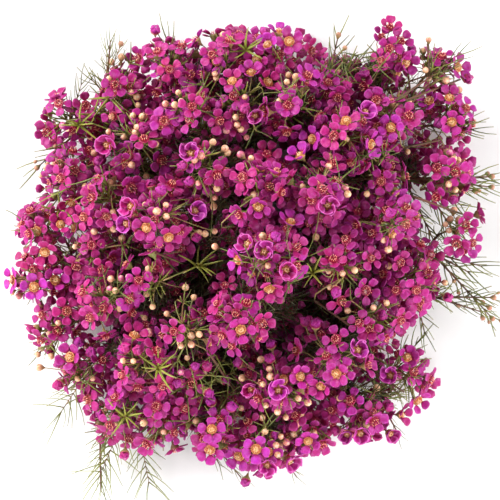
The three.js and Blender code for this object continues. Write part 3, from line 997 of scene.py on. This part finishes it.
def growBloom(head, bloom):
    grown, kind, place, facing = head.grown, bloom.kind, bloom.place, bloom.facing
    if kind == "bud":
        foot = place - facing * budSizes["height"]
        hue = between(*tints["paleHue" if dice.random() < tints["paleBuds"] else "pinkHue"])
        stand = standOn(foot, facing, between(0, roughTurn), between(*tints["budSize"]))
        grown.append((bud if bloom.onTop else lowBud, stand, tintOf(hue, 0, dice.random())))
    else:
        foot = place - facing * tube["height"]
        ages = {each: between(*span) for each, span in tints["age"].items()}
        hue = tints["hue"] - place.x / tints["across"] + between(-tints["vary"], tints["vary"])
        hue += tints["plainHue"] if kind == "plain" else 0
        # painted shade: the farther under the top of the flowers a bloom sits, the darker its petals
        under = max(0, onTop(place.x, place.y)[0] - place.z)
        deep = min(tints["deepest"], under / tints["deepShade"])
        shape = dice.choice((topKinds if bloom.onTop else crowdKinds)[kind])
        stand = standOn(foot, facing, between(0, roughTurn), between(*tints["size"]))
        grown.append((shape, stand, tintOf(hue, ages[kind], deep + (1 - deep) * dice.random())))
    starts = [start for start in (*head.subs, head.knot) if (foot - start).dot(facing) > 0]
    start = min(starts or [head.knot], key=lambda s: (s - foot).length)
    if kind == "plain":
        spot, _, away = onWood(foot)
        if away < (start - foot).length:
            start = spot
    reach, bow = (foot - start).length, twigs["pedicelBow"]
    setOff = ((foot - start).normalized() + head.axis * twigs["setOff"]).normalized()
    curve = (start, start + setOff * reach * bow, foot - facing * reach * bow, foot + facing * twigs["inTube"])
    growRod(grown, curve, twigs["pedicel"], dice.random(), rodShape if bloom.onTop else thinRod)


def growHead(head):
    # the stalk, the twigs at its knot with their needles, and then the blooms
    grown, knot, axis = head.grown, head.knot, head.axis
    foot = head.foot - axis * headPlan["inTwig"]
    step = (knot - foot) / 3
    radii = (headPlan["stalkRadius"], twigs["subRadius"][0])
    growRod(grown, (foot, foot + step, foot + step * 2, knot), radii, 0.9)
    turn, others = between(0, roughTurn), twigs["sub"] - 1
    lean, bow = math.radians(twigs["subLean"]), twigs["subBow"]
    for way in [axis] + [leaningFrom(axis, lean, turn + k * 2 * math.pi / others) for k in range(others)]:
        end = knot + way * head.spread * twigs["subReach"] * between(0.85, 1.15)
        head.subs.append(end)
        curve = (knot, knot + axis * head.spread * bow, end - way * head.spread * bow, end)
        growRod(grown, curve, twigs["subRadius"], dice.random())
        for _ in range(needles["perSub"]):
            away = anyAngle(*needles["lean"])
            growNeedle(grown, knot.lerp(end, between(0.4, 1)), leaningFrom(way, away, between(0, roughTurn)),
                       between(*needles["length"]), dice.random())
    for bloom in head.blooms:
        growBloom(head, bloom)


def twigTo(head, end, way, radii):
    # a thin twig from the head's nearest shoot to `end`, which it reaches along `way`
    start = min((*head.subs, head.knot), key=lambda s: (s - end).length)
    reach = (end - start).length
    growRod(head.grown, (start, start + head.axis * reach * 0.3, end - way * reach * 0.3, end), radii, dice.random())


def growTuft(column, row, count):
    # a leafy tip: a twig with a star of young needles
    end, head = underTop((column, row), between(*needles["tuftDepth"]))
    bright = (column, row) in brightTufts
    way = ((end - head.knot).normalized() + upward * (1.6 if bright else 0.4)).normalized()
    way = nudged(way, 0, 8 if bright else 35, roughTurn)
    twigTo(head, end, way, (0.45 * mm, 0.35 * mm))
    hue = 0.85 if bright else between(0, 0.35)
    for i in range(count):
        lean = anyAngle(*needles["tuftLean"])
        foot = end - way * between(0, needles["tuftDeep"]) * mm
        length = between(*needles["starLength" if bright else "tuftLength"])
        growNeedle(head.grown, foot, leaningFrom(way, lean, i * goldenAngle), length, hue + between(-0.2, 0.2),
                   leafShapes if bright else needleShapes)


def growLongNeedle(*where):
    # a single needle that lies over the flowers
    foot, head = underTop(where[:2], 1 * mm)
    end = underTop(where[2:], -2 * mm)[0]
    end.z = min(end.z, foot.z + 4 * mm)
    way = (end - foot).normalized()
    twigTo(head, foot, way, (0.35 * mm, 0.3 * mm))
    growNeedle(head.grown, foot, way, (end - foot).length, between(0.1, 0.7), fineShapes[:1])


def growTwig(*where):
    # a bare twig that crosses a hollow, with a few needles
    foot, head = underTop(where[:2], twigs["bareDepth"])
    end = underTop(where[2:], twigs["bareDepth"])[0]
    heading = (end - foot).normalized()
    twigTo(head, foot, heading, twigs["subRadius"])
    rise = upward * (end - foot).length * 0.08
    growRod(head.grown, bowed(foot, end, rise), twigs["bareRadius"], 1, twigShape)
    for k in range(twigs["bareNeedles"]):
        way = leaningFrom(heading, anyAngle(30, 60), k * goldenAngle)
        growNeedle(head.grown, foot.lerp(end, dice.random()), way, between(*needles["length"]),
                   between(0, 0.5), fineShapes, end - foot)


for head in heads:
    growHead(head)
for grow, places in ((growTwig, topTwigs), (growTuft, leafTufts), (growLongNeedle, longNeedles)):
    for where in places:
        grow(*where)
pieces = [gather(head.node + "_blooms", head.grown, [head.node]) for head in heads]
print("heads grown:", len(pieces), "faces", sum(len(piece.data.polygons) for piece in pieces))

# leafy twigs low in the hollows, and needles along the wood
undergrowth = {
    "perWidth": 3.3, "wider": 1.2, "depth": 20 * mm, "low": 6 * mm, "radius": (0.4 * mm, 0.3 * mm),
    "needles": 6, "lean": (25, 80), "length": (8 * mm, 13 * mm),
}
lowGrown = {node: [] for node in woodNodes}


def fillHollow(column, row, half):
    for _ in range(int(half * undergrowth["perWidth"])):
        x, y = inHollow(column, row, half * undergrowth["wider"])
        if isIn(openings, x, y):
            continue
        high = max(onTop(x, y)[0] - undergrowth["depth"], 3 * undergrowth["low"])
        end = Vector((x, y, between(undergrowth["low"], high)))
        start, node, away = onWood(end)
        way = ((end - start).normalized() + upward * 0.3).normalized()
        curve = (start, start.lerp(end, 0.33), end - way * away * 0.33, end)
        growRod(lowGrown[node], curve, undergrowth["radius"], dice.random(), thinTwig)
        for k in range(undergrowth["needles"]):
            lean = anyAngle(*undergrowth["lean"])
            foot, length = start.lerp(end, between(0.5, 1)), between(*undergrowth["length"])
            # these needles are darkened to near black: painted shade of the hollows
            growNeedle(lowGrown[node], foot, leaningFrom(way, lean, k * goldenAngle), length,
                       between(0, 0.25), innerShapes, ageAndPaintedShade=between(0.5, 1))


for hollow in hollows:
    fillHollow(*hollow)

woodNeedles = {
    "every": 4.6 * mm * mm,  # the bark that each needle has to itself
    "inTheOpen": 0.45, "length": (9 * mm, 14 * mm), "outward": 0.75, "forward": 0.7, "inBark": 0.2 * mm,
    "cutEnd": Vector((0, -60 * mm, 0)),  # about where the stem was cut
}


def leafOut(node):
    bm = mergedCopy(node)
    bmesh.ops.triangulate(bm, faces=bm.faces)
    fromCut = lambda co: co.z + 0.2 * (co - woodNeedles["cutEnd"]).length
    base = min((v.co for v in bm.verts), key=fromCut).copy()
    grown = lowGrown[node]
    for face in bm.faces:
        edge = max(face.edges, key=lambda e: e.calc_length())
        first, last = (v.co for v in edge.verts)
        along = (last - first).normalized()
        centre = face.calc_center_median()
        if along.dot(centre - base) < 0:
            along.negate()
        chance = face.calc_area() / woodNeedles["every"]
        bare = isIn(openings, centre.x, centre.y)
        if bare:
            chance *= woodNeedles["inTheOpen"]
        while chance > 0:
            if dice.random() < chance:
                foot = first.lerp(last, dice.random()).lerp(centre, 0.5)
                way = (face.normal * woodNeedles["outward"] + along * woodNeedles["forward"]).normalized()
                growNeedle(grown, foot - face.normal * woodNeedles["inBark"], way, between(*woodNeedles["length"]),
                           between(0, 0.5), fineShapes if bare else needleShapes, along)
            chance -= 1
    bm.free()
    gather(node + "_needles", grown)


for node in woodNodes:
    leafOut(node)
print("wood in leaf")

for node in woodNodes:
    wood = bpy.data.objects[node]
    wood.data.materials.clear()
    wood.data.materials.append(finishes["bark"])
    wood.modifiers.new("weld", "WELD").merge_threshold = packed["weld"]
    smooth = wood.modifiers.new("round", "SUBSURF")
    smooth.levels = smooth.render_levels = 1

# sprigs that stand out at the rim: root and tip as (column, row, height in mm), and what differs from a leafy one
sprigs = {
    "far_right": ((437, 148, 30), (472, 129, 34), {}),
    "far_right_two": ((432, 140, 30), (466, 120, 36), {}),
    "right_twig": ((425, 200, 24), (490, 176, 26), {"ends": "buds"}),
    "right_twig_two": ((430, 168, 26), (490, 186, 24), {"ends": "buds"}),
    "right_low": ((432, 266, 26), (482, 266, 28), {}),
    "right_low_two": ((430, 262, 26), (470, 272, 24), {}),
    "right_bud": ((440, 196, 24), (474, 190, 22), {"ends": "buds"}),
    "corner": ((450, 84, 30), (459, 54, 34), {}),
    "corner_twig": ((370, 114, 34), (450, 66, 36), {"longer": 0.7}),
    "corner_twig_two": ((378, 100, 32), (436, 72, 38), {"longer": 0.6}),
    "right_fork": ((440, 272, 26), (492, 316, 22), {"ends": "buds"}),
    "right_fork_two": ((446, 276, 26), (492, 298, 24), {"ends": "buds"}),
    "right_spray": ((424, 190, 24), (456, 232, 26), {}),
    "right_spray_two": ((420, 196, 22), (438, 246, 24), {}),
    "right_spray_three": ((426, 186, 28), (462, 204, 28), {}),
    "low_right": ((392, 322, 26), (426, 332, 24), {}),
    "low_right_under": ((395, 330, 22), (418, 346, 18), {}),
    "foot_right": ((378, 392, 22), (402, 398, 18), {"longer": 0.6}),
    "foot_inner": ((348, 364, 32), (390, 392, 28), {"longer": 0.8}),
    "foot_inner_two": ((352, 380, 28), (388, 374, 26), {"longer": 0.7}),
    "foot_corner": ((380, 420, 20), (400, 436, 16), {"longer": 0.6}),
    "bottom": ((212, 452, 16), (240, 480, 12), {"longer": 0.6}),
    "bottom_left": ((210, 455, 14), (219, 468, 10), {"longer": 0.6}),
    "bottom_right": ((284, 460, 16), (297, 480, 10), {"longer": 0.6}),
    "trail_short": ((76, 372, 16), (58, 414, 6), {"longer": 1.15, "wider": 1.3, "slim": 0.6}),
    "trail_far": ((106, 392, 14), (97, 480, 6), {"longer": 1.25, "wider": 1.3, "slim": 0.6}),
    "trail_right": ((138, 434, 14), (147, 486, 6), {"longer": 1.1, "wider": 1.25, "slim": 0.6}),
    "left_low": ((62, 344, 18), (42, 348, 16), {"ends": "buds"}),
    "left_edge": ((38, 228, 22), (22, 222, 22), {}),
    "left_high": ((62, 156, 24), (38, 164, 22), {"ends": "buds"}),
    "left_line": ((96, 178, 40), (52, 196, 28), {}),
    "back_left": ((84, 104, 30), (80, 84, 32), {"longer": 0.75, "slim": 0.7}),
    "back_left_two": ((94, 98, 32), (92, 80, 34), {"longer": 0.75, "slim": 0.7}),
    "back_left_three": ((108, 84, 34), (106, 50, 34), {"longer": 0.65, "wider": 1.15, "slim": 0.7}),
    "back_left_four": ((110, 76, 36), (119, 47, 36), {"ends": "buds", "longer": 0.65, "wider": 1.15, "slim": 0.7}),
    "back_bud": ((322, 66, 34), (338, 38, 34), {"ends": "buds"}),
    "back_right": ((350, 75, 38), (362, 58, 42), {}),
    "top_left": ((175, 60, 40), (168, 42, 36), {}),
}
spray = {
    "radius": (0.65 * mm, 0.32 * mm), "rise": 0.12, "pairEvery": 4.2 * mm, "lean": (42.0, 66.0), "closing": 0.45,
    "length": (11 * mm, 16 * mm), "bareShare": 0.2, "sideBud": 5 * mm, "sideRadius": (0.35 * mm, 0.3 * mm),
    "sideBuds": 0.3, "dryShare": 0.6,
}


def growSprig(name, root, tip, ends="needles", replaced=(), longer=1.0, wider=1.0, slim=1.0):
    # a twig with pairs of needles; `ends` says whether it bears buds too
    grown = []
    reach = (tip - root).length
    heading = (tip - root).normalized()
    rise = upward * reach * spray["rise"]
    curve = bowed(root, tip, rise)
    radii = [radius * slim for radius in spray["radius"]]
    growRod(grown, curve, radii, 0.8, twigShape if slim == 1 else rodShape)
    leafy = 1 - spray["bareShare"]
    pairs = max(3, int(reach * leafy / (spray["pairEvery"] * slim)))
    for k in range(pairs + 1):
        t = spray["bareShare"] + leafy * k / pairs
        spot, way = onCurve(curve, t)
        for side in (0, math.pi):
            lean = math.radians(between(*spray["lean"]) * wider * (1 - spray["closing"] * t / wider))
            turn = side + (k % 2) * math.pi / 2 + between(-0.3, 0.3)
            if ends == "buds" and dice.random() < spray["sideBuds"]:
                foot = spot + leaningFrom(way, lean, turn) * spray["sideBud"] * between(0.8, 1.5)
                facing = leaningFrom(way, lean * 0.7, turn)
                growRod(grown, bowed(spot, foot), spray["sideRadius"], 0.7)
                end = capsule if dice.random() < spray["dryShare"] else bud
                stand = standOn(foot, facing, 0, between(0.5, 0.78))
                grown.append((end, stand, tintOf(between(0, 0.5), between(0.4, 1), dice.random())))
            length = longer * between(*spray["length"])
            hue = between(0, 0.5) + (0.25 if wider > 1 else 0)
            shapes = fineShapes if wider > 1 else sprigShapes
            growNeedle(grown, spot, leaningFrom(way, lean, turn), length, hue, shapes, way)
    if ends == "buds":
        grown.append((bud, standOn(tip, heading, 0, 0.75), tintOf(0.4, 0.7, 0.4)))
    gather(name, grown, replaced)


for name, (root, tip, differs) in sprigs.items():
    # from the nearest wood or the nearest knot of a head
    root, tip = (Vector((*onPlan(column, row), height * mm)) for column, row, height in (root, tip))
    knot = min((head.knot for head in heads), key=lambda knot: (knot - root).length)
    spot, _, away = onWood(root)
    growSprig("sprig_" + name, spot if away < (knot - root).length else knot.copy(), tip, **differs)

for node in shootNodes:
    bm = mergedCopy(node)
    (foot, normal), *_, (tip, _) = endFaces(bm, 4)
    bm.free()
    growSprig(node + "_sprig", foot + normal * 1 * mm, tip, replaced=[node], longer=0.7)
print("sprigs grown:", len(sprigs) + len(shootNodes))

studio = {
    "floorHalf": 3.0, "sky": 0.17, "floor": {"pale": (0.93, 0.93, 0.93), "dull": (0.9, 0.9, 0.9)},
    # each light's place, size and power
    "lights": [((-1.4, 1.3, 1.0), 1.2, 75.0), ((1.7, -0.1, 0.9), 1.4, 53.0), ((-0.1, -1.8, 0.85), 1.3, 34.0),
               ((-1.8, -0.4, 0.8), 1.3, 26.0)],
    "cameraHeight": 2.2, "aim": 0.045, "width": 0.25, "sensor": 36.0,
}


def floorFinish():
    mix = Mix("table", studio["floor"])
    body = mix.blend(mix.span(mix.noise(40, 3), 0.3, 0.7), "pale", "dull")
    return mix.finish({"Base Color": body, "Roughness": 0.9, "Specular IOR Level": 0.1})


bm = bmesh.new()
bmesh.ops.create_grid(bm, x_segments=8, y_segments=8, size=studio["floorHalf"])
table = putObject("table", keepMesh(bm, "table"))
table.data.materials.append(floorFinish())

for i, (spot, size, power) in enumerate(studio["lights"]):
    lamp = bpy.data.lights.new("softbox", "AREA")
    lamp.energy, lamp.size = power, size
    softbox = putObject(f"softbox_{i}", lamp)
    softbox.location = spot
    softbox.rotation_euler = (-Vector(spot)).to_track_quat("-Z", "Y").to_euler()

sky = bpy.data.worlds.new("sky")
sky.use_nodes = True
sky.node_tree.nodes["Background"].inputs["Color"].default_value = (1, 1, 1, 1)
sky.node_tree.nodes["Background"].inputs["Strength"].default_value = studio["sky"]
scene.world = sky

lens = bpy.data.cameras.new("camera")
lens.sensor_width = studio["sensor"]
lens.lens = studio["sensor"] * (studio["cameraHeight"] - studio["aim"]) / studio["width"]
camera = putObject("camera", lens)
camera.location = (*plan["shift"], studio["cameraHeight"])
scene.camera = camera
scene.view_settings.view_transform = "Standard"
